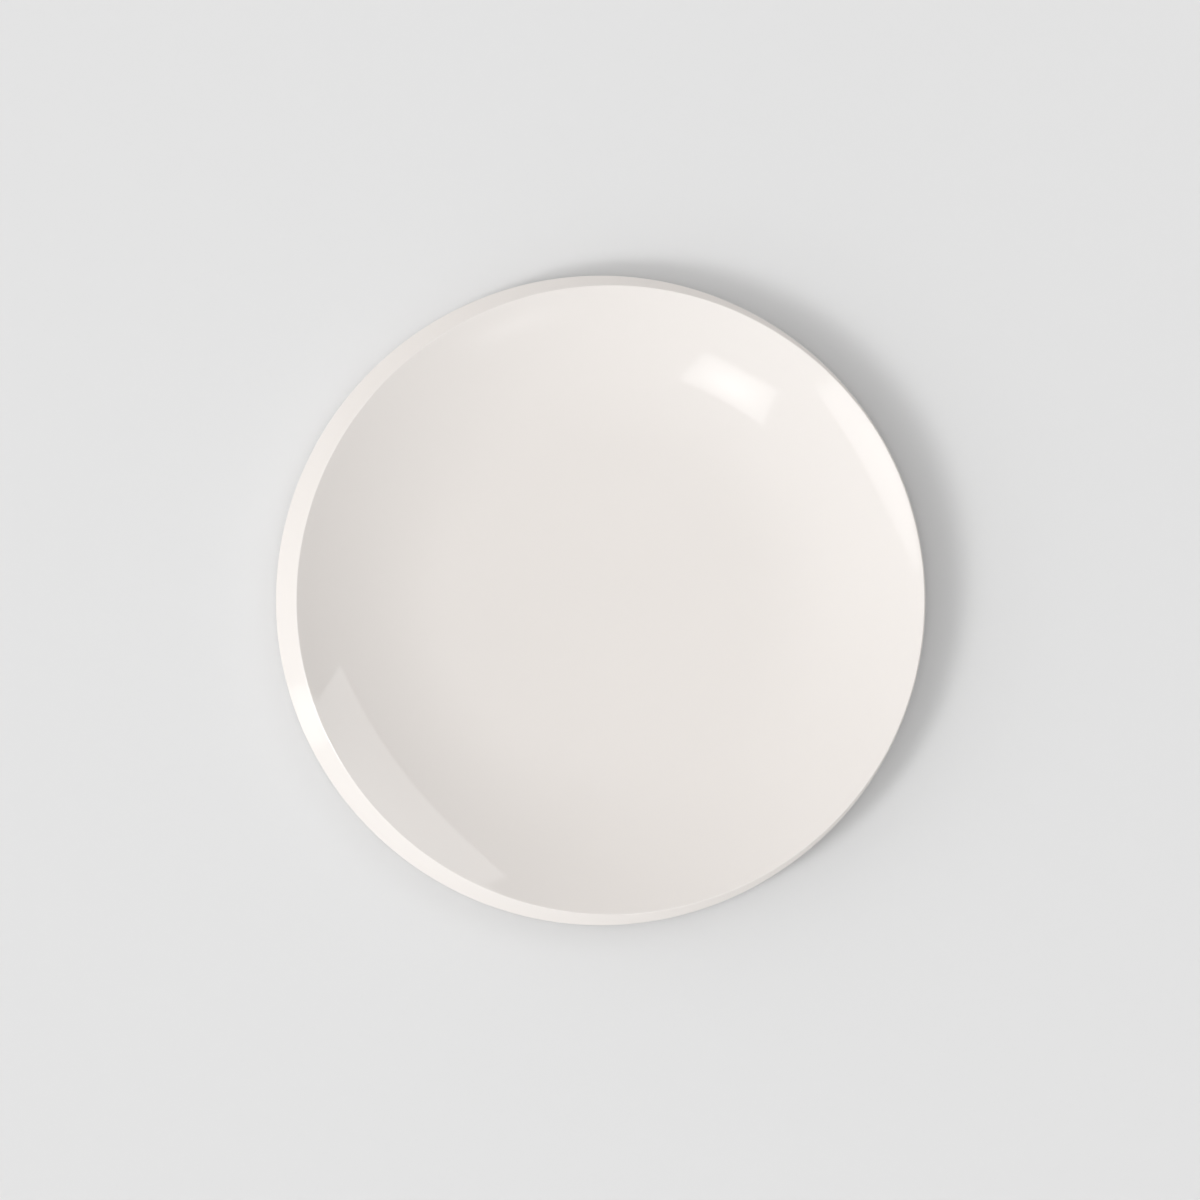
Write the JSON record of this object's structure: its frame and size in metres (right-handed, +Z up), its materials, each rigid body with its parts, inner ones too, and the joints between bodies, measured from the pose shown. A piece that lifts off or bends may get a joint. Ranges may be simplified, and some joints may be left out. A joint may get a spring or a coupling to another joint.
{
  "type": "dessert plate",
  "caption": "Round white coupe dessert plate in glazed porcelain, with a crescent-shaped bevel that widens along one side of its rim, and a foot ring.",
  "frame": {"origin": "on the axis of the plate's round edge, in the plane that the foot ring stands on", "axes": "+Z up along the plate's axis, -X towards the widest part of the crescent bevel"},
  "size_m": [0.2, 0.2, 0.0172],
  "materials": {
    "bare_porcelain": "matte",
    "ivory_glaze": "polished"
  },
  "bodies": {
    "root": {"porcelain_body": "bare_porcelain", "outer_glaze": "ivory_glaze", "foot_well_glaze": "ivory_glaze"}
  },
  "joints": []
}
